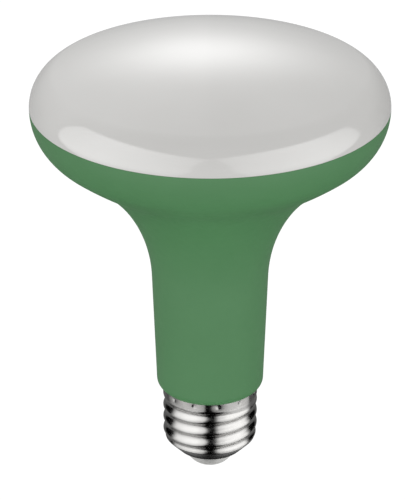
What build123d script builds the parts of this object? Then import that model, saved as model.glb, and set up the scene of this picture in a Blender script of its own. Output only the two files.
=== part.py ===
"""Reflector light bulb: a frosted diffuser on a green moulded housing, over a metal screw cap.

The bulb's axis is +Z, with the cap down. z = 0 is the lower face of the centre contact.
"""
import os
from math import acos, atan2, cos, degrees, radians, sin, sqrt

from build123d import *

os.makedirs("parts", exist_ok=True)

# Whole bulb, in millimetres and degrees
head_diameter = 96.0
overall_height = 124.5
fit_clearance = 0.1

# Diffuser
dome_rise = 17.0
diffuser_wall = 2.0
shoulder_round = 9.9
skirt_wall = 1.5
skirt_depth = 4.0

# Housing
rim_wall = 2.0
rim_round = 15.6
rim_turn = 51.9
bowl_radius = 101.0
flare_radius = 40.1
neck_diameter = 31.7
neck_taper = 2.17
edge_round_height = 2.3
spigot_gap = 1.7

# Screw shell
cap_height = 24.0
sheet_thickness = 0.4
collar_swell = 0.05
collar_length = 2.6
thread_diameter = 26.0
thread_depth = 0.85
thread_pitch = 3.629
thread_run_out = 1.4
crest_height_at_x = 12.3
bands_per_turn = 10
shell_bottom = 8.1
bottom_rim_wall = 0.65
crimp_count = 12
crimp_radius = 0.8
crimp_depth = 0.3
crimp_drop = 0.75
first_crimp_angle = 10.0

# Insulator and centre contact
insulator_face_diameter = 17.9
plug_height = 2.6
contact_height = 4.6
contact_diameter = 16.6
contact_knee_diameter = 10.3
contact_knee_height = 0.9
contact_flat_diameter = 7.8
contact_round = 1.2
stem_diameter = 4.0

# Diffuser sizes that follow from the ones above
head_radius = head_diameter / 2
round_centre = head_radius - shoulder_round
seam_height = overall_height - dome_rise
dome_radius = (round_centre**2 + dome_rise**2 - shoulder_round**2) / (2 * (dome_rise - shoulder_round))
dome_centre = overall_height - dome_radius
dome_angle = degrees(atan2(seam_height - dome_centre, round_centre))
skirt_radius = head_radius - rim_wall - fit_clearance
skirt_bore = skirt_radius - skirt_wall
inner_round = shoulder_round - diffuser_wall
skirt_top = seam_height + sqrt(inner_round**2 - (skirt_bore - round_centre) ** 2)
skirt_angle = degrees(atan2(skirt_top - seam_height, skirt_bore - round_centre))

# Cap sizes that follow
collar_radius = thread_diameter / 2 + collar_swell
collar_bore = collar_radius - sheet_thickness
collar_bottom = cap_height - collar_length
thread_middle_radius = (thread_diameter - thread_depth) / 2
shell_bore = thread_diameter / 2 - thread_depth - sheet_thickness
bottom_rim_radius = shell_bore + bottom_rim_wall
insulator_top = shell_bottom + plug_height
plug_radius = shell_bore - fit_clearance

# Housing sizes that follow: the flare starts where its arc, tangent to the bowl's, ends at the neck
neck_radius = neck_diameter / 2
bowl_centre = head_radius - rim_round - (bowl_radius - rim_round) * cos(radians(rim_turn))
flare_centre = neck_radius + flare_radius * cos(radians(neck_taper))
flare_turn = degrees(acos((flare_centre - bowl_centre) / (bowl_radius + flare_radius)))
rim_bore = head_radius - rim_wall
deck_height = seam_height - skirt_depth - fit_clearance
neck_end_height = cap_height + edge_round_height
upper_spigot_radius = collar_bore - fit_clearance
spigot_step_height = collar_bottom + fit_clearance
spigot_bottom = insulator_top + spigot_gap


# Diffuser: a shallow dome with a rounded shoulder, and a skirt that plugs into the housing's rim
with BuildPart() as diffuser:
    with BuildSketch(Plane.XZ):
        with BuildLine():
            dome = CenterArc((0, dome_centre), dome_radius, 90, dome_angle - 90)
            shoulder = CenterArc((round_centre, seam_height), shoulder_round, dome_angle, -dome_angle)
            Polyline(
                shoulder @ 1,
                (skirt_radius, seam_height),
                (skirt_radius, seam_height - skirt_depth),
                (skirt_bore, seam_height - skirt_depth),
                (skirt_bore, skirt_top),
            )
            CenterArc((round_centre, seam_height), inner_round, skirt_angle, dome_angle - skirt_angle)
            inner_dome = CenterArc((0, dome_centre), dome_radius - diffuser_wall, dome_angle, 90 - dome_angle)
            Line(inner_dome @ 1, dome @ 0)
        make_face()
    revolve(axis=Axis.Z)


# Housing: rim, bowl, concave flare and tapered neck in one moulding, closed inside,
# with a stepped spigot that carries the cap
with BuildPart() as housing:
    with BuildSketch(Plane.XZ):
        with BuildLine():
            rim = JernArc((head_radius, seam_height), (0, -1), rim_round, -rim_turn)
            bowl = JernArc(rim @ 1, rim % 1, bowl_radius, rim_turn - flare_turn)
            flare = JernArc(bowl @ 1, bowl % 1, flare_radius, flare_turn - neck_taper)
            neck_length = ((flare @ 1).Y - neck_end_height) / cos(radians(neck_taper))
            neck = Line(flare @ 1, flare @ 1 + (flare % 1) * neck_length)
            TangentArc(neck @ 1, (collar_radius, cap_height), tangent=neck % 1)
            Polyline(
                (collar_radius, cap_height),
                (upper_spigot_radius, cap_height),
                (upper_spigot_radius, spigot_step_height),
                (plug_radius, spigot_step_height),
                (plug_radius, spigot_bottom),
                (0, spigot_bottom),
                (0, deck_height),
                (rim_bore, deck_height),
                (rim_bore, seam_height),
                (head_radius, seam_height),
            )
        make_face()
    revolve(axis=Axis.Z)


# Screw shell: a circle whose centre goes round the axis once a pitch draws the rolled right-hand thread,
# which fades out at the bottom rim and at the collar
thread_length = collar_bottom - shell_bottom
band_count = round(bands_per_turn * thread_length / thread_pitch)
with BuildPart() as screw_shell:
    for band in range(band_count + 1):
        band_height = thread_length * band / band_count
        to_collar = thread_length - band_height
        fade = min(1, band_height / thread_run_out, to_collar / thread_run_out)
        end_radius = bottom_rim_radius if band_height < to_collar else collar_radius
        band_radius = end_radius + (thread_middle_radius - end_radius) * fade
        turn = radians(360 * (shell_bottom + band_height - crest_height_at_x) / thread_pitch)
        crest_offset = fade * thread_depth / 2
        with BuildSketch(Plane.XY.offset(shell_bottom + band_height)):
            with Locations((crest_offset * cos(turn), crest_offset * sin(turn))):
                Circle(band_radius)
    loft(ruled=True)
    with BuildSketch(Plane.XY.offset(collar_bottom)):
        Circle(collar_radius)
    extrude(amount=collar_length)
    with BuildSketch(Plane.XY.offset(cap_height)):
        Circle(collar_bore)
    extrude(amount=-collar_length, mode=Mode.SUBTRACT)
    with BuildSketch(Plane.XY.offset(shell_bottom)):
        Circle(shell_bore)
    extrude(amount=thread_length, mode=Mode.SUBTRACT)
    # Crimps punched into the collar, the first one counted from the front, which is -Y
    with Locations((0, 0, cap_height - crimp_drop)):
        with PolarLocations(collar_radius + crimp_radius - crimp_depth, crimp_count, first_crimp_angle - 90):
            Sphere(crimp_radius, mode=Mode.SUBTRACT)


# Insulator: a cone under the shell's bottom rim, with a plug inside the shell
# and a hole for the contact's stem
with BuildPart() as base_insulator:
    with BuildSketch(Plane.XZ):
        with BuildLine():
            Polyline(
                (stem_diameter / 2 + fit_clearance, contact_height),
                (insulator_face_diameter / 2, contact_height),
                (bottom_rim_radius, shell_bottom),
                (plug_radius, shell_bottom),
                (plug_radius, insulator_top),
                (stem_diameter / 2 + fit_clearance, insulator_top),
                close=True,
            )
        make_face()
    revolve(axis=Axis.Z)


# Centre contact: a dished button under the insulator, on a stem through it
with BuildPart() as centre_contact:
    with BuildSketch(Plane.XZ) as button:
        with BuildLine():
            Polyline(
                (0, 0),
                (contact_flat_diameter / 2, 0),
                (contact_knee_diameter / 2, contact_knee_height),
                (contact_diameter / 2, contact_height),
                (stem_diameter / 2, contact_height),
                (stem_diameter / 2, insulator_top),
                (0, insulator_top),
                close=True,
            )
        make_face()
        fillet(button.vertices().group_by(Axis.Y)[0].sort_by(Axis.X)[-1], contact_round)
    revolve(axis=Axis.Z)


diffuser.part.label = "diffuser"
export_step(diffuser.part, "parts/diffuser.step")
housing.part.label = "housing"
export_step(housing.part, "parts/housing.step")
screw_shell.part.label = "screw_shell"
export_step(screw_shell.part, "parts/screw_shell.step")
base_insulator.part.label = "base_insulator"
export_step(base_insulator.part, "parts/base_insulator.step")
centre_contact.part.label = "centre_contact"
export_step(centre_contact.part, "parts/centre_contact.step")
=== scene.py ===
"""Looks of a reflector light bulb: frosted dome, green moulded housing and nickel screw cap.

The bulb's axis is +Z, with its cap down, and the photographed side faces -Y. Lengths are in millimetres
until a mesh is made, and in metres after that. Named angles are in degrees.
"""

import bpy
import numpy as np
from mathutils import Matrix, Vector


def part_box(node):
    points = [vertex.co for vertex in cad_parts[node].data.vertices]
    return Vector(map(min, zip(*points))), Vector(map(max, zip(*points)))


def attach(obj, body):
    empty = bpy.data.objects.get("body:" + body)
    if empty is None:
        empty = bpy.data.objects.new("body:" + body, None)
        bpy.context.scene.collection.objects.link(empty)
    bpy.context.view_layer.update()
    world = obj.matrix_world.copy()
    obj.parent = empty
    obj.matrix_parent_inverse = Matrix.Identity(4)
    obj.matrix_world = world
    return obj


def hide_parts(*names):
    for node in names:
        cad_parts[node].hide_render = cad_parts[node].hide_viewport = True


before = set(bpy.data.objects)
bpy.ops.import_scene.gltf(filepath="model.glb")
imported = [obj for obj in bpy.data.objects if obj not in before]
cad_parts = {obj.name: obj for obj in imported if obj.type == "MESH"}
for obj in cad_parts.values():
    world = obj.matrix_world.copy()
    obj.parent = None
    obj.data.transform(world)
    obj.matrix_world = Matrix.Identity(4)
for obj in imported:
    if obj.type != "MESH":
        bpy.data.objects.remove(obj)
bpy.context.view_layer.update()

MM = 0.001

# Heights and radii that the frame gives
HEAD_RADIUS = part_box("diffuser")[1].x / MM
TOP_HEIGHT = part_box("diffuser")[1].z / MM
SKIRT_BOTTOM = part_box("diffuser")[0].z / MM
SEAM_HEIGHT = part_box("housing")[1].z / MM
SPIGOT_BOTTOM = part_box("housing")[0].z / MM
COLLAR_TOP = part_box("screw_shell")[1].z / MM
COLLAR_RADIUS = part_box("screw_shell")[1].x / MM
SHELL_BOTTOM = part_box("screw_shell")[0].z / MM
RIM_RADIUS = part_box("base_insulator")[1].x / MM
PLUG_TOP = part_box("base_insulator")[1].z / MM
CONTACT_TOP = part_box("base_insulator")[0].z / MM
CONTACT_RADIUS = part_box("centre_contact")[1].x / MM

# Diffuser: the shoulder's arc ends a little above the seam, to leave room for the seam's round
SHOULDER_ROUND = 9.9
SHOULDER_END = 1.5
DIFFUSER_WALL = 2.0
SKIRT_RADIUS = 45.9
SKIRT_BORE = 44.4
SEAM_ROUND = 0.12

# Housing: the rim's arc starts a little below the seam, for the same reason
RIM_BORE = 46.0
DECK_HEIGHT = 103.4
RIM_ROUND = 15.6
RIM_START = 1.0
RIM_TURN = 51.9
BOWL_RADIUS = 101.0
FLARE_RADIUS = 40.1
NECK_RADIUS = 15.85
NECK_TAPER = 2.17
NECK_END = 26.3
EDGE_OVERHANG = 0.2
UPPER_SPIGOT = 12.55
LOWER_SPIGOT = 11.65
SPIGOT_STEP = 21.5
SPIGOT_ROUND = 0.05

# Screw shell: sheet, collar and rolled thread
SHEET = 0.4
COLLAR_BOTTOM = 21.4
COLLAR_PLAIN = 1.0
THREAD_RADIUS = 13.0
THREAD_DEPTH = 0.85
ROOT_RADIUS = THREAD_RADIUS - THREAD_DEPTH
THREAD_PITCH = 3.629
CREST_HEIGHT_AT_X = 12.15
RUN_OUT = 1.4
RIM_ROLL = 0.12

# Screw shell: the collar's bend into the thread, and where the thread starts, counted from the front
FRONT = -90.0
BEND_TOP = 21.9
BEND_BOTTOM = 19.5
BEND_FADE = 1.0
BEND_CLEAR = 1.0
BEND_BLEND = 0.12
BEND_START = 65.0
BEND_START_WIDTH = 32.0
BEND_START_SHARE = 0.75

# Screw shell: crimps punched into the collar, the first one counted from the front
CRIMP_COUNT = 12
FIRST_CRIMP = 10.0
CRIMP_RADIUS = 0.75
CRIMP_DEPTH = 0.18
CRIMP_HEIGHT = 22.95
CRIMP_SINK_WIDTH = 2.0
CRIMP_SINK_HEIGHT = 1.4
CRIMP_SINK_DEPTH = 0.26

# Insulator and centre contact
FACE_RADIUS = 8.95
INSULATOR_ROUND = 0.175
PLUG_RADIUS = 11.65
STEM_HOLE = 2.1
STEM_RADIUS = 2.0
SEAT_ROUND = 0.15
KNEE_RADIUS = 5.15
KNEE_HEIGHT = 0.9
FLAT_RADIUS = 3.9
CONTACT_ROUND = 1.2

# Points round the axis and along the shell, and the straight length beside an outline's end corners
SLICES = 288
SHELL_SLICES = 360
CONTACT_SLICES = 144
COLLAR_ROWS = 26
THREAD_ROWS = 132
ROLL_ROWS = 6
INSIDE_STEP = 3
LEAD = 1.0

# Finishes: the range that most of a noise lies in, and how the collar's painted shade, a darker tone, and
# its duller gloss set in
NOISE_LOW = 0.3
NOISE_HIGH = 0.7
COLLAR_SHADE_AND_DULLNESS_HEIGHT = 0.6
COLLAR_DULLNESS = 0.02


def ramp(value, low, high):
    """Smooth step from 0 at low to 1 at high: 3 times the share's square less 2 times its cube."""
    share = np.clip((value - low) / (high - low), 0, 1)
    return share * share * (3 - 2 * share)


def bell(value, middle, width):
    """Bell curve: 1 in the middle, and e to the minus 1 a width away from it."""
    return np.exp(-(((value - middle) / width) ** 2))


def arc(centre, radius, start, end, count):
    """Points of a circle's arc: the centre plus radius times (cos, sin) of even steps in degrees."""
    angle = np.radians(np.linspace(start, end, count))
    return np.column_stack([centre[0] + radius * np.cos(angle), centre[1] + radius * np.sin(angle)])


def straight(start, end, count):
    """Points of a straight line: the two ends mixed by evenly spaced shares."""
    share = np.linspace(0, 1, count)[:, None]
    return (1 - share) * np.asarray(start, float) + share * np.asarray(end, float)


def rounded(points, radius, count=5):
    """A line through corners, each rounded: the corner point is replaced by a circle's arc that touches
    both sides. The arc's centre lies on the corner's bisector, at radius over the sine of half the
    corner's angle."""
    points = np.asarray(points, float)
    pieces = [points[:1]]
    for before, corner, after in zip(points[:-2], points[1:-1], points[2:]):
        back = (before - corner) / np.linalg.norm(before - corner)
        ahead = (after - corner) / np.linalg.norm(after - corner)
        half = np.arccos(np.clip(back @ ahead, -1, 1)) / 2
        centre = corner + (back + ahead) / np.linalg.norm(back + ahead) * radius / np.sin(half)
        first = corner + back * radius / np.tan(half) - centre
        last = corner + ahead * radius / np.tan(half) - centre
        start = np.degrees(np.arctan2(first[1], first[0]))
        sweep = np.degrees(np.arctan2(first[0] * last[1] - first[1] * last[0], first @ last))
        pieces.append(arc(centre, radius, start, start + sweep, count))
    pieces.append(points[-1:])
    return np.concatenate(pieces)


def add_to_scene(name, data):
    """A new object in the scene, at the origin."""
    thing = bpy.data.objects.new(name, data)
    bpy.context.scene.collection.objects.link(thing)
    return thing


def round_axis(radius, height, angle):
    """Grid of points, rows by slices: radius times (cos, sin) of the angle, and the height."""
    return np.stack([radius * np.cos(angle), radius * np.sin(angle), height * np.ones_like(angle)], -1)


def mesh_piece(name, rows, closed=False):
    """A piece from a grid of points, rows by slices, that goes round the axis. Each cell is a quad. A
    row on the axis becomes one point with a fan of triangles, and a closed grid also joins its last row
    to its first."""
    poles = [i for i in (0, -1) if not closed and np.allclose(rows[i, :, :2], 0)]
    first = 1 if 0 in poles else 0
    last = -1 if -1 in poles else None
    body = rows[first:last]
    points = body.reshape(-1, 3)
    index = np.arange(len(points)).reshape(body.shape[:2])
    upper = index if closed else index[:-1]
    lower = np.roll(index, -1, axis=0) if closed else index[1:]
    quads = np.stack([upper, lower, np.roll(lower, -1, axis=1), np.roll(upper, -1, axis=1)], -1)
    faces = quads.reshape(-1, 4).tolist()
    for pole in poles:
        ring = index[pole]
        following = np.roll(ring, -1)
        tip = np.full(ring.size, len(points))
        points = np.vstack([points, rows[pole, :1]])
        fan = [tip, ring, following] if pole == 0 else [tip, following, ring]
        faces += np.column_stack(fan).tolist()
    mesh = bpy.data.meshes.new(name)
    mesh.from_pydata((points * MM).tolist(), [], faces)
    mesh.shade_smooth()
    return add_to_scene(name, mesh)


def turned(name, outline, slices=SLICES, closed=False):
    """A turned piece: each radius of the outline goes round the axis as radius times (cos, sin)."""
    angle = np.linspace(0, 2 * np.pi, slices, endpoint=False)
    return mesh_piece(name, round_axis(outline[:, :1], outline[:, 1:], angle), closed)


def make_diffuser():
    """Dome arc, tangent to the shoulder's arc, down to the seam, then the skirt and the inner wall up
    to the axis. The dome's radius follows from its rise and from where the two arcs touch."""
    round_centre = HEAD_RADIUS - SHOULDER_ROUND
    rise = TOP_HEIGHT - SEAM_HEIGHT
    dome_radius = (round_centre**2 + rise**2 - SHOULDER_ROUND**2) / (2 * (rise - SHOULDER_ROUND))
    dome_centre = TOP_HEIGHT - dome_radius
    joint = np.degrees(np.arctan2(SEAM_HEIGHT - dome_centre, round_centre))
    inner_round = SHOULDER_ROUND - DIFFUSER_WALL
    skirt_joint = np.degrees(np.arccos((SKIRT_BORE - round_centre) / inner_round))
    skirt_top = SEAM_HEIGHT + inner_round * np.sin(np.radians(skirt_joint))
    skirt = [
        (HEAD_RADIUS, SEAM_HEIGHT + LEAD),
        (HEAD_RADIUS, SEAM_HEIGHT),
        (SKIRT_RADIUS, SEAM_HEIGHT),
        (SKIRT_RADIUS, SKIRT_BOTTOM),
        (SKIRT_BORE, SKIRT_BOTTOM),
        (SKIRT_BORE, skirt_top),
    ]
    outline = np.concatenate([
        arc((0, dome_centre), dome_radius, 90, joint, count=60),
        arc((round_centre, SEAM_HEIGHT), SHOULDER_ROUND, joint, SHOULDER_END, count=48)[1:],
        rounded(skirt, SEAM_ROUND)[1:],
        arc((round_centre, SEAM_HEIGHT), inner_round, skirt_joint, joint, count=16)[1:],
        arc((0, dome_centre), dome_radius - DIFFUSER_WALL, joint, 90, count=20)[1:],
    ])
    return turned("diffuser_dome", outline)


def make_housing():
    """Rim, bowl, flare and neck: three arcs, each tangent to the one before, and a tapered line, then
    the edge's arc to the collar. Deck, pocket and spigot close it inside."""
    rim_centre = np.array([HEAD_RADIUS - RIM_ROUND, SEAM_HEIGHT])
    turn = np.radians(-RIM_TURN)
    bowl_centre = rim_centre + (RIM_ROUND - BOWL_RADIUS) * np.array([np.cos(turn), np.sin(turn)])
    taper = np.radians(NECK_TAPER)
    flare_out = NECK_RADIUS + FLARE_RADIUS * np.cos(taper)
    reach = BOWL_RADIUS + FLARE_RADIUS
    flare_turn = np.arccos((flare_out - bowl_centre[0]) / reach)
    flare_centre = np.array([flare_out, bowl_centre[1] - reach * np.sin(flare_turn)])
    neck_top = flare_centre + FLARE_RADIUS * np.array([-np.cos(taper), np.sin(taper)])
    neck_end = np.array([neck_top[0] - np.tan(taper) * (neck_top[1] - NECK_END), NECK_END])
    outward = np.array([np.cos(taper), -np.sin(taper)])
    collar_edge = np.array([COLLAR_RADIUS, COLLAR_TOP])
    chord = collar_edge - neck_end
    edge_round = chord @ chord / (-2 * chord @ outward)
    edge_centre = neck_end - edge_round * outward
    edge_last = collar_edge - edge_centre
    edge_end = np.degrees(np.arctan2(edge_last[1], edge_last[0]))
    rim = [
        (0, DECK_HEIGHT),
        (RIM_BORE, DECK_HEIGHT),
        (RIM_BORE, SEAM_HEIGHT),
        (HEAD_RADIUS, SEAM_HEIGHT),
        (HEAD_RADIUS, SEAM_HEIGHT - LEAD),
    ]
    spigot = [
        (COLLAR_RADIUS + EDGE_OVERHANG, COLLAR_TOP),
        (UPPER_SPIGOT, COLLAR_TOP),
        (UPPER_SPIGOT, SPIGOT_STEP),
        (LOWER_SPIGOT, SPIGOT_STEP),
        (LOWER_SPIGOT, SPIGOT_BOTTOM),
        (0, SPIGOT_BOTTOM),
    ]
    outline = np.concatenate([
        rounded(rim, SEAM_ROUND)[:-1],
        arc(rim_centre, RIM_ROUND, -RIM_START, -RIM_TURN, count=40),
        arc(bowl_centre, BOWL_RADIUS, -RIM_TURN, -np.degrees(flare_turn), count=16)[1:],
        arc(flare_centre, FLARE_RADIUS, 180 - np.degrees(flare_turn), 180 - NECK_TAPER, count=48)[1:],
        straight(neck_top, neck_end, count=24)[1:],
        arc(edge_centre, edge_round, -NECK_TAPER, edge_end, count=16)[1:-1],
        rounded(spigot, SPIGOT_ROUND, count=3),
    ])
    return turned("housing_body", outline)


def thread_radius(height, angle):
    """Radius of the rolled thread: a cosine wave between root and crest, by the height above the
    nearest crest. The crest rises one pitch each turn, to the right."""
    turns = (height - CREST_HEIGHT_AT_X) / THREAD_PITCH - angle / (2 * np.pi)
    return THREAD_RADIUS - THREAD_DEPTH / 2 * (1 - np.cos(2 * np.pi * turns))


def bent_collar(height, angle):
    """Radius of the collar: it bends in to the thread's root by a smooth step of the height, and less
    far, by a bell curve of the angle, where the thread starts."""
    from_start = (np.degrees(angle) - FRONT - BEND_START + 180) % 360 - 180
    share = 1 - BEND_START_SHARE * bell(from_start, 0, BEND_START_WIDTH)
    return COLLAR_RADIUS - (COLLAR_RADIUS - ROOT_RADIUS) * share * ramp(height, BEND_TOP, BEND_BOTTOM)


def crimp_dents(height, angle):
    """Depth of the punched crimps: each is a round dent, deepest in its middle, by the distance to the
    nearest one, in a wider and shallower sink with the form of a bell curve."""
    step = 2 * np.pi / CRIMP_COUNT
    turns = (angle - np.radians(FRONT + FIRST_CRIMP)) / step
    along = (turns - np.round(turns)) * step * COLLAR_RADIUS
    up = height - CRIMP_HEIGHT
    sink = CRIMP_SINK_DEPTH * bell(along, 0, CRIMP_SINK_WIDTH) * bell(up, 0, CRIMP_SINK_HEIGHT)
    dent = CRIMP_DEPTH * np.maximum(1 - (along**2 + up**2) / CRIMP_RADIUS**2, 0) ** 1.5
    return sink + dent


def shell_radius(height, angle):
    """Outside of the rolled sheet: the smooth maximum of the bent collar's radius and the thread's,
    less the crimps. The thread fades into the bottom rim, and into its root under the collar, each by a
    smooth step of the height. Below the bend the collar's radius is set clear inside the thread."""
    from_rim = ramp(height, SHELL_BOTTOM, SHELL_BOTTOM + RUN_OUT)
    under_collar = ramp(height, COLLAR_BOTTOM, COLLAR_TOP - COLLAR_PLAIN)
    thread = RIM_RADIUS + (thread_radius(height, angle) - RIM_RADIUS) * from_rim
    thread = (1 - under_collar) * thread + under_collar * ROOT_RADIUS
    bend_end = BEND_BOTTOM - BEND_FADE
    collar = np.where(height > bend_end, bent_collar(height, angle), ROOT_RADIUS - BEND_CLEAR)
    blend = BEND_BLEND * (1 - under_collar) * ramp(height, bend_end, BEND_BOTTOM)
    joined = (collar + thread + np.sqrt((collar - thread) ** 2 + blend**2)) / 2
    return joined - crimp_dents(height, angle)


def make_screw_shell():
    """Rolled sheet: the outside goes down from the collar over the thread to the bottom rim, two
    quarter circles roll round the rim, and the inside goes back up one sheet thickness in, with a third
    of the rows."""
    angle = np.linspace(0, 2 * np.pi, SHELL_SLICES, endpoint=False)[None, :]
    collar_heights = np.linspace(COLLAR_TOP, COLLAR_BOTTOM, COLLAR_ROWS)
    thread_heights = np.linspace(COLLAR_BOTTOM, SHELL_BOTTOM + RIM_ROLL, THREAD_ROWS)[1:]
    height = np.concatenate([collar_heights, thread_heights])[:, None]
    outside = shell_radius(height, angle)
    inside = outside - SHEET
    roll = np.radians(np.linspace(0, -90, ROLL_ROWS)[1:])[:, None]
    outer_roll = outside[-1:] - RIM_ROLL + RIM_ROLL * np.cos(roll)
    inner_roll = inside[-1:] + RIM_ROLL - RIM_ROLL * np.cos(roll)
    roll_height = SHELL_BOTTOM + RIM_ROLL + RIM_ROLL * np.sin(roll)
    radii = np.concatenate([outside, outer_roll, inner_roll[::-1], inside[::-INSIDE_STEP]])
    heights = np.concatenate([height, roll_height, roll_height[::-1], height[::-INSIDE_STEP]])
    return mesh_piece("screw_shell_sheet", round_axis(radii, heights, angle), closed=True)


def make_base_insulator():
    """Cone from the contact's seat to the shell's rim, with a plug and a stem hole, edges rounded."""
    corners = [
        (STEM_HOLE, PLUG_TOP - LEAD),
        (STEM_HOLE, PLUG_TOP),
        (PLUG_RADIUS, PLUG_TOP),
        (PLUG_RADIUS, SHELL_BOTTOM),
        (RIM_RADIUS, SHELL_BOTTOM),
        (FACE_RADIUS, CONTACT_TOP),
        (STEM_HOLE, CONTACT_TOP),
        (STEM_HOLE, CONTACT_TOP + LEAD),
    ]
    return turned("base_insulator_cone", rounded(corners, INSULATOR_ROUND, count=6), closed=True)


def make_centre_contact():
    """Stem, seat, dished side and flat bottom of the pressed contact, with its edges rounded."""
    seat = (CONTACT_RADIUS, CONTACT_TOP)
    knee = (KNEE_RADIUS, KNEE_HEIGHT)
    stem = [(0, PLUG_TOP), (STEM_RADIUS, PLUG_TOP), (STEM_RADIUS, CONTACT_TOP)]
    upper = rounded([*stem, seat, knee], SEAT_ROUND, count=4)[:-1]
    lower = rounded([seat, knee, (FLAT_RADIUS, 0), (0, 0)], CONTACT_ROUND, count=8)[1:]
    return turned("centre_contact_button", np.concatenate([upper, lower]), CONTACT_SLICES)


def new_material(name):
    """A new node material, its Principled shader and its Object coordinates."""
    material = bpy.data.materials.new(name)
    material.use_nodes = True
    nodes = material.node_tree.nodes
    place = nodes.new("ShaderNodeTexCoord").outputs["Object"]
    return material, nodes["Principled BSDF"], place


def noise(material, place, scale, detail, stretch=(1, 1, 1)):
    """Soft noise, from 0 to 1, of the given scale per metre, stretched along the axes."""
    nodes, links = material.node_tree.nodes, material.node_tree.links
    texture = nodes.new("ShaderNodeTexNoise")
    texture.inputs["Scale"].default_value = scale
    texture.inputs["Detail"].default_value = detail
    mapping = nodes.new("ShaderNodeMapping")
    mapping.inputs["Scale"].default_value = stretch
    links.new(place, mapping.inputs["Vector"])
    links.new(mapping.outputs["Vector"], texture.inputs["Vector"])
    return texture.outputs["Fac"]


def spread(material, value, low, high):
    """A noise's usual range spread over low to high."""
    node = material.node_tree.nodes.new("ShaderNodeMapRange")
    node.inputs["From Min"].default_value = NOISE_LOW
    node.inputs["From Max"].default_value = NOISE_HIGH
    node.inputs["To Min"].default_value = low
    node.inputs["To Max"].default_value = high
    material.node_tree.links.new(value, node.inputs["Value"])
    return node.outputs["Result"]


def two_tone(material, value, low, high):
    """Colour between two tones, by a noise's usual range."""
    node = material.node_tree.nodes.new("ShaderNodeValToRGB")
    first, second = node.color_ramp.elements
    first.position = NOISE_LOW
    second.position = NOISE_HIGH
    first.color = (*low, 1)
    second.color = (*high, 1)
    material.node_tree.links.new(value, node.inputs["Fac"])
    return node.outputs["Color"]


def bump(material, shader, value, depth):
    """Relief of the given depth in metres."""
    node = material.node_tree.nodes.new("ShaderNodeBump")
    node.inputs["Distance"].default_value = depth
    material.node_tree.links.new(value, node.inputs["Height"])
    material.node_tree.links.new(node.outputs["Normal"], shader.inputs["Normal"])


def clouded_finish(name, clouds, tones, patches, roughness, grain, depth):
    """A finish in two tones mixed by clouds, with a roughness spread by patches and a relief of fine
    grain. Clouds, patches and grain are noises, each given by its scale per metre and its detail."""
    material, shader, place = new_material(name)
    link = material.node_tree.links.new
    link(two_tone(material, noise(material, place, *clouds), *tones), shader.inputs["Base Color"])
    link(spread(material, noise(material, place, *patches), *roughness), shader.inputs["Roughness"])
    bump(material, shader, noise(material, place, *grain), depth)
    return material, shader


def frosted_white():
    """Warm white frosted plastic: a clear smooth skin over it, faintly clouded and finely grained."""
    material, shader = clouded_finish(
        "frosted_white",
        clouds=(45, 2),
        tones=((0.668, 0.661, 0.644), (0.687, 0.680, 0.664)),
        patches=(260, 3),
        roughness=(0.40, 0.46),
        grain=(2600, 2),
        depth=4e-6,
    )
    shader.inputs["Coat Weight"].default_value = 1.0
    shader.inputs["Coat Roughness"].default_value = 0.07
    shader.inputs["Coat IOR"].default_value = 1.5
    shader.inputs["Specular IOR Level"].default_value = 0.0
    return material


def moulded_green():
    """Green moulded plastic: fine spark-eroded grain, satin, with faint flow clouds."""
    material, _ = clouded_finish(
        "moulded_green",
        clouds=(60, 3),
        tones=((0.0550, 0.1825, 0.0650), (0.0590, 0.1915, 0.0695)),
        patches=(500, 3),
        roughness=(0.48, 0.56),
        grain=(3200, 3),
        depth=1.2e-5,
    )
    return material


def black_insulator():
    """Glossy black moulding: near black, with fine swirls and a slightly uneven gloss."""
    material, _ = clouded_finish(
        "black_insulator",
        clouds=(500, 3),
        tones=((0.010, 0.010, 0.010), (0.016, 0.016, 0.0155)),
        patches=(900, 3),
        roughness=(0.17, 0.23),
        grain=(1500, 3),
        depth=2e-6,
    )
    return material


def tinned_contact():
    """Tinned pressed metal: satin, with cloudy tones, duller patches and a fine grain."""
    material, shader = clouded_finish(
        "tinned_contact",
        clouds=(700, 4),
        tones=((0.72, 0.72, 0.70), (0.80, 0.80, 0.785)),
        patches=(800, 3),
        roughness=(0.45, 0.55),
        grain=(2200, 3),
        depth=1.0e-5,
    )
    shader.inputs["Metallic"].default_value = 1.0
    return material


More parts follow.
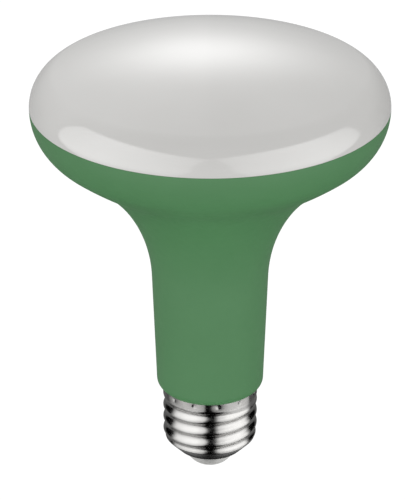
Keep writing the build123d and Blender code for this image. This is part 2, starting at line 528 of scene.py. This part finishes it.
def nickel_plate():
    """Bright nickel: fine rings from rolling, thin dull smears, and a duller collar whose darker tone is
    painted shade.
    """
    material, shader, place = new_material("nickel_plate")
    nodes, link = material.node_tree.nodes, material.node_tree.links.new
    axes = nodes.new("ShaderNodeSeparateXYZ")
    link(place, axes.inputs["Vector"])
    # Mask of the collar, above its bottom: there it darkens the tone as painted shade, and dulls the gloss
    collar = nodes.new("ShaderNodeMapRange")
    collar.interpolation_type = "SMOOTHSTEP"
    collar.inputs["From Min"].default_value = COLLAR_BOTTOM * MM
    collar.inputs["From Max"].default_value = (COLLAR_BOTTOM + COLLAR_SHADE_AND_DULLNESS_HEIGHT) * MM
    link(axes.outputs["Z"], collar.inputs["Value"])
    clouds = noise(material, place, scale=300, detail=3)
    tone = nodes.new("ShaderNodeMix")
    tone.data_type = "RGBA"
    link(collar.outputs["Result"], tone.inputs["Factor"])
    link(two_tone(material, clouds, (0.445, 0.44, 0.43), (0.475, 0.47, 0.46)), tone.inputs["A"])
    # Painted shade: the collar's copy of the nickel tone is darker than the thread's
    link(two_tone(material, clouds, (0.315, 0.311, 0.302), (0.355, 0.351, 0.342)), tone.inputs["B"])
    link(tone.outputs["Result"], shader.inputs["Base Color"])
    shader.inputs["Metallic"].default_value = 1.0
    smears = noise(material, place, scale=420, detail=4, stretch=(1, 1, 3))
    dull = nodes.new("ShaderNodeMath")
    dull.operation = "MULTIPLY_ADD"
    link(collar.outputs["Result"], dull.inputs[0])
    dull.inputs[1].default_value = COLLAR_DULLNESS
    link(spread(material, smears, 0.11, 0.16), dull.inputs[2])
    link(dull.outputs["Value"], shader.inputs["Roughness"])
    rings = noise(material, place, scale=260, detail=5, stretch=(0.2, 0.2, 9))
    bump(material, shader, rings, 5e-6)
    return material


def dress(piece, node, material):
    """Puts a piece in a node's place, on the part's one body, in its material."""
    piece.data.materials.append(material)
    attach(piece, "root")
    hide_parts(node)
    return piece


dome = dress(make_diffuser(), "diffuser", frosted_white())
body = dress(make_housing(), "housing", moulded_green())
shell = dress(make_screw_shell(), "screw_shell", nickel_plate())
insulator = dress(make_base_insulator(), "base_insulator", black_insulator())
contact = dress(make_centre_contact(), "centre_contact", tinned_contact())

# Studio, in metres: azimuths count from the camera's side to the right, and a grid is points across and up
STUDIO_CENTRE = np.array([0.0, 0.0, 0.09])
PANEL_DISTANCE = 2.2
PANEL_STEP = 0.04
PANEL_GRID = (181, 129)
FLOOR_DROP = 3.2
FLOOR_RADIUS = 30.0
FLOOR_SIDES = 96
FLOOR_TONE = 0.85
FLOOR_ROUGHNESS = 0.9
FLOOR_GLOW = 0.33
BACKDROP_DISTANCE = 3.0
BACKDROP_GRID = (97, 141)
BACKDROP_ELEVATIONS = (-50, 90)
BACKDROP_GREY = 0.74
BACKDROP_WHITE = 1.05
GREY_ABOVE = -8
WHITE_BELOW = -18
WORLD_SIDES = 0.70
WORLD_TOP = 0.86


def glow_material(name, strength, clear):
    """Light of a patch, shaded by its own glow attribute. A clear one lets light through, so that
    patches may overlap."""
    material = bpy.data.materials.new(name)
    material.use_nodes = True
    nodes, links = material.node_tree.nodes, material.node_tree.links
    nodes.remove(nodes["Principled BSDF"])
    emission = nodes.new("ShaderNodeEmission")
    glow = nodes.new("ShaderNodeAttribute")
    glow.attribute_name = "glow"
    scale = nodes.new("ShaderNodeMath")
    scale.operation = "MULTIPLY"
    scale.inputs[1].default_value = strength
    links.new(glow.outputs["Fac"], scale.inputs[0])
    links.new(scale.outputs["Value"], emission.inputs["Strength"])
    shader = emission.outputs["Emission"]
    if clear:
        both = nodes.new("ShaderNodeAddShader")
        links.new(shader, both.inputs[0])
        links.new(nodes.new("ShaderNodeBsdfTransparent").outputs["BSDF"], both.inputs[1])
        shader = both.outputs["Shader"]
    links.new(shader, nodes["Material Output"].inputs["Surface"])
    return material


def sphere_patch(name, distance, grid, azimuths, elevations, glow_of, material):
    """A patch of a sphere round the studio's centre that faces inwards and casts no shadow. Each point
    lies in the direction of its azimuth and elevation, and its glow is what glow_of gives for them."""
    columns, rows = grid
    azimuth, elevation = np.meshgrid(np.linspace(*azimuths, columns), np.linspace(*elevations, rows))
    across, up = np.radians(azimuth), np.radians(elevation)
    toward = np.stack([np.sin(across) * np.cos(up), -np.cos(across) * np.cos(up), np.sin(up)], -1)
    points = STUDIO_CENTRE + distance * toward
    index = np.arange(azimuth.size).reshape(azimuth.shape)
    quads = np.stack([index[:-1, :-1], index[1:, :-1], index[1:, 1:], index[:-1, 1:]], -1)
    mesh = bpy.data.meshes.new(name)
    mesh.from_pydata(points.reshape(-1, 3).tolist(), [], quads.reshape(-1, 4).tolist())
    glow = mesh.attributes.new("glow", "FLOAT", "POINT")
    glow.data.foreach_set("value", glow_of(azimuth, elevation).ravel().astype(np.float32))
    mesh.materials.append(material)
    patch = add_to_scene(name, mesh)
    patch.visible_shadow = False
    return patch


def light_panel(distance, name, azimuths, elevations, glow_of, strength, lit, gloss):
    """A curved light panel round the bulb: a patch of a sphere that the camera doesn't see. It lights
    only the pieces given, either as gloss or as diffuse light."""
    light = glow_material(name, strength, clear=True)
    panel = sphere_patch(name, distance, PANEL_GRID, azimuths, elevations, glow_of, light)
    panel.visible_camera = False
    panel.visible_glossy = gloss
    panel.visible_diffuse = not gloss
    receivers = bpy.data.collections.new(name + "_lit")
    for piece in lit:
        receivers.objects.link(piece)
    panel.light_linking.receiver_collection = receivers


def by_side(azimuth, left, right):
    """One value at the left, where the azimuth is below 0, and another at the right."""
    return np.where(azimuth < 0, left, right)


def within(value, edge, softness):
    """1 below an edge and 0 above it, with a smooth step as wide as the softness to both sides."""
    return ramp(value, edge + softness, edge - softness)


def box_across(azimuth):
    """Brightness of a side box from the camera's side outwards: a slow rise that levels off, then a
    round fall by the square of the azimuth."""
    out = np.abs(azimuth)
    rise = 1 - 0.68 * np.maximum(1 - out / 68, 0) ** 1.5
    fall = np.maximum(out - 60, 0) / by_side(azimuth, 64, 58)
    return rise * (1 - fall**2)


def box_top(azimuth):
    """Elevation of a side box's top: a parabola of the azimuth, higher and further out at the left."""
    height = by_side(azimuth, 45, 42.5)
    middle = by_side(azimuth, 64, 48)
    bend = by_side(azimuth, 0.0033, 0.004)
    return height - bend * (np.abs(azimuth) - middle) ** 2


def box_end(azimuth, elevation):
    """Azimuth of a side box's far end, which bends inwards low down by the square of the elevation."""
    end = by_side(azimuth, 105, 103.5)
    bend_start = by_side(azimuth, -3, 2)
    return end - 0.055 * np.maximum(bend_start - elevation, 0) ** 2


def camera_arch(azimuth, elevation):
    """Share of a dark arch where the camera stands: its half width falls with the square of the
    elevation above the horizon, and spreads at its foot."""
    height = np.maximum(elevation, 0) / 36
    half_width = 12.5 * np.maximum(1 - height**2, 0) + 8 * ramp(elevation, -2, -18)
    aside = np.abs(azimuth - 1.2)
    return within(aside, half_width, 1.2) * ramp(elevation, 38, 33)


def dome_side_glow(azimuth, elevation):
    """A side box with a clean top and far end that fades below the horizon, with the camera's arch."""
    top = within(elevation, box_top(azimuth), 3)
    end = within(np.abs(azimuth), box_end(azimuth, elevation), 2)
    shade = 1 - 0.62 * camera_arch(azimuth, elevation)
    return box_across(azimuth) * top * end * shade * ramp(elevation, -36, -6)


def dome_tent_glow(azimuth, elevation):
    """Faint even light all round, with wide bell-curve glows high up behind and at the left, a narrow
    strip at the left, and less light low down at both sides."""
    even = 0.5
    behind = np.abs(np.abs(azimuth) - 180)
    back = 0.65 * bell(behind, 0, 45) * bell(elevation, 52, 22)
    left_width = np.where(azimuth > -130, 65, 40)
    left = 0.85 * bell(azimuth, -130, left_width) * bell(elevation, 46, 30)
    strip = 0.25 * bell(azimuth, -112, 14) * ramp(elevation, -25, 0) * ramp(elevation, 45, 25)
    dark_right = 0.38 * bell(azimuth, 130, 35) * ramp(elevation, 25, 0)
    dark_left = 0.18 * bell(azimuth, -140, 30) * ramp(elevation, 15, -5)
    return even + back + left + strip - dark_right - dark_left


def dome_top_glow(azimuth, elevation):
    """A round soft light behind and above, a bell curve both ways, with a fainter one below it."""
    middle = 181
    light = bell(azimuth, middle, 14) * bell(elevation, 30, 13)
    below = 0.16 * bell(azimuth, middle, 15) * bell(elevation, 14, 18)
    return light + below


def body_front_glow(azimuth, elevation):
    """Light in front and at the sides that fades outwards, up and down, and a fainter strip beyond."""
    out = np.abs(azimuth)
    front = ramp(out, 105, 50) * ramp(elevation, 60, 40) * ramp(elevation, -48, -12)
    strip = 0.24 * ramp(out, 50, 105) * bell(elevation, -25, 15)
    return front + strip


def body_ring_glow(azimuth, elevation):
    """Even light from all round, at and below the horizon."""
    return ramp(elevation, 25, 5) * ramp(elevation, -60, -35)


def cap_gap(azimuth, elevation):
    """Share of light beside a dark upright gap in front of the camera, which is wider low down, most of
    all at its foot. The light sets in by a smooth step, and then by a slower one."""
    middle = 1.5
    widening = 36 * ramp(elevation, -34, -76) + 3 * ramp(elevation, 5, -15)
    aside = np.abs(azimuth - middle) - widening
    start = np.where(azimuth < middle, 7, 4.5)
    return ramp(aside, start, 23) * (0.72 + 0.28 * ramp(aside, 20, 45))


def cap_far_side(azimuth, elevation):
    """Share of light towards a cap box's far edge, which lies further out low down, and at the left
    high up as well. Before the edge comes a fall, deeper at the left."""
    out = np.abs(azimuth)
    left_edge = 122 - 12.5 * ramp(elevation, -40, -12) + 11 * ramp(elevation, 10, 24)
    right_edge = 130 - 19.5 * ramp(elevation, -44, -12)
    left_fall = (0.36 - 0.18 * ramp(elevation, -10, 25)) * ramp(out, 60, 100)
    right_fall = 0.08 * ramp(out, 75, 92)
    fall = by_side(azimuth, left_fall, right_fall)
    return ramp(out, by_side(azimuth, left_edge, right_edge), 89) * (1 - fall)


def cap_side_glow(azimuth, elevation):
    """A side box with a dark gap in front of the camera and a soft far edge. By height, it is dimmer
    high up at the right, a little uneven in the middle, and falls off downwards, more so at the left,
    to a dark foot."""
    high = 1 - by_side(azimuth, 0, 0.26) * ramp(elevation, 30, 48)
    middle = 1 + by_side(azimuth, -0.05 * bell(elevation, -5, 15), 0.06 * bell(elevation, 12, 18))
    low = 1 - by_side(azimuth, 0.57, 0.46) * (np.maximum(35 - elevation, 0) / 100) ** 1.25
    ends = ramp(elevation, 75, 60) * ramp(elevation, -84, -60)
    return cap_gap(azimuth, elevation) * cap_far_side(azimuth, elevation) * high * middle * low * ends


def cap_back_glow(azimuth, elevation):
    """Faint light low down behind, past a dark gap at each side that closes further down. It is
    stronger near the bottom and ends in a foot with a dark middle."""
    behind = np.abs(azimuth - 180)
    edge = 46 + 38 * ramp(elevation, 5, -28)
    stronger = 1 + 0.5 * ramp(elevation, -32, -50)
    dark_middle = ramp(elevation, -50, -72) * ramp(behind, 34, 14)
    foot = ramp(elevation, -79, -56) * (1 - dark_middle)
    return ramp(behind, edge, edge - 14) * ramp(elevation, 20, -10) * stronger * foot


def foot_glow(azimuth, elevation):
    """Light from below and behind that grows to both sides of a dark middle, by a square."""
    aside = np.clip((np.abs(azimuth - 180) - 4) / 30, 0, 1)
    return aside**2 * ramp(elevation, 0, -20)


def contact_glow(azimuth, elevation):
    """Light from below and behind that fades a little to both sides."""
    return ramp(elevation, -20, -30) * (1.15 - 0.3 * ramp(np.abs(azimuth - 180), 5, 45))


# Panels: name, azimuths, elevations, glow, strength, pieces lit, and whether they are lit as gloss
cap_pieces = [shell, insulator, contact]
PANELS = [
    ("dome_box_left", (-118, 0), (-46, 50), dome_side_glow, 4.08, [dome], True),
    ("dome_box_right", (0, 118), (-46, 50), dome_side_glow, 3.72, [dome], True),
    ("dome_top_light", (120, 240), (-25, 70), dome_top_glow, 2.7, [dome], True),
    ("dome_tent", (-180, 180), (-90, 90), dome_tent_glow, 1.0, [dome], True),
    ("body_front_light", (-180, 180), (-60, 61), body_front_glow, 1.3, [body], True),
    ("body_ring_light", (-180, 180), (-61, 26), body_ring_glow, 0.5, [body], False),
    ("cap_box_left", (-123, 0), (-86, 76), cap_side_glow, 2.04, cap_pieces, True),
    ("cap_box_right", (0, 135), (-86, 76), cap_side_glow, 2.06, cap_pieces, True),
    ("cap_back_light", (97, 263), (-79, 21), cap_back_glow, 0.18, [shell], True),
    ("foot_light", (90, 270), (-89, 1), foot_glow, 1.15, [insulator], True),
    ("contact_light", (90, 270), (-89, -19), contact_glow, 0.49, [contact], True),
]

# Each panel is on a sphere of its own
for number, panel in enumerate(PANELS):
    light_panel(PANEL_DISTANCE + number * PANEL_STEP, *panel)


def make_floor():
    """Pale round floor: a flat disc that fills the view from above and shows as no gloss."""
    angle = np.linspace(0, 2 * np.pi, FLOOR_SIDES, endpoint=False)
    ring = np.column_stack([np.cos(angle), np.sin(angle), np.zeros(FLOOR_SIDES)]) * FLOOR_RADIUS
    mesh = bpy.data.meshes.new("floor")
    mesh.from_pydata((ring - [0, 0, FLOOR_DROP]).tolist(), [], [list(range(FLOOR_SIDES))])
    material = bpy.data.materials.new("floor_white")
    material.use_nodes = True
    shader = material.node_tree.nodes["Principled BSDF"]
    shader.inputs["Base Color"].default_value = (FLOOR_TONE, FLOOR_TONE, FLOOR_TONE, 1)
    shader.inputs["Roughness"].default_value = FLOOR_ROUGHNESS
    shader.inputs["Specular IOR Level"].default_value = 0.0
    shader.inputs["Emission Color"].default_value = (1, 1, 1, 1)
    shader.inputs["Emission Strength"].default_value = FLOOR_GLOW
    mesh.materials.append(material)
    floor = add_to_scene("floor", mesh)
    floor.visible_glossy = False


def backdrop_glow(azimuth, elevation):
    """White like the floor low down and pale grey above, with a smooth step between."""
    return BACKDROP_GREY + (BACKDROP_WHITE - BACKDROP_GREY) * ramp(elevation, GREY_ABOVE, WHITE_BELOW)


def make_backdrop():
    """Plain backdrop: a patch of a sphere all round the studio. Only the camera sees it."""
    tone = glow_material("backdrop", 1.0, clear=False)
    backdrop = sphere_patch(
        "backdrop", BACKDROP_DISTANCE, BACKDROP_GRID, (-180, 180), BACKDROP_ELEVATIONS, backdrop_glow, tone
    )
    backdrop.visible_glossy = False
    backdrop.visible_diffuse = False


def make_world():
    """Soft even light from all round, a little brighter overhead. It shows as no gloss."""
    world = bpy.data.worlds.new("studio")
    world.use_nodes = True
    nodes, links = world.node_tree.nodes, world.node_tree.links
    place = nodes.new("ShaderNodeTexCoord")
    axes = nodes.new("ShaderNodeSeparateXYZ")
    brightness = nodes.new("ShaderNodeMapRange")
    brightness.inputs["To Min"].default_value = WORLD_SIDES
    brightness.inputs["To Max"].default_value = WORLD_TOP
    links.new(place.outputs["Generated"], axes.inputs["Vector"])
    links.new(axes.outputs["Z"], brightness.inputs["Value"])
    links.new(brightness.outputs["Result"], nodes["Background"].inputs["Strength"])
    nodes["Background"].inputs["Color"].default_value = (1, 1, 1, 1)
    world.cycles_visibility.glossy = False
    bpy.context.scene.world = world


make_floor()
make_backdrop()
make_world()
bpy.context.scene.view_settings.view_transform = "Standard"

# Camera: fitted to the photograph's outline, in a frame 406 by 500 pixels
PHOTO_HEIGHT_PX = 500
FOCAL_PX = 3063.6
AXIS_RIGHT_OF_CENTRE_PX = 7.05
SENSOR_WIDTH = 36.0
CAMERA_PLACE = Vector((0, -749.0, 423.7)) * MM
CAMERA_PITCH = 25.61

camera = add_to_scene("camera", bpy.data.cameras.new("camera"))
camera.data.sensor_width = SENSOR_WIDTH
camera.data.lens = FOCAL_PX * SENSOR_WIDTH / PHOTO_HEIGHT_PX
pan = np.arctan(AXIS_RIGHT_OF_CENTRE_PX / FOCAL_PX)
camera.matrix_world = (
    Matrix.Translation(CAMERA_PLACE)
    @ Matrix.Rotation(np.pi / 2 - np.radians(CAMERA_PITCH), 4, "X")
    @ Matrix.Rotation(pan, 4, "Y")
)
bpy.context.scene.camera = camera
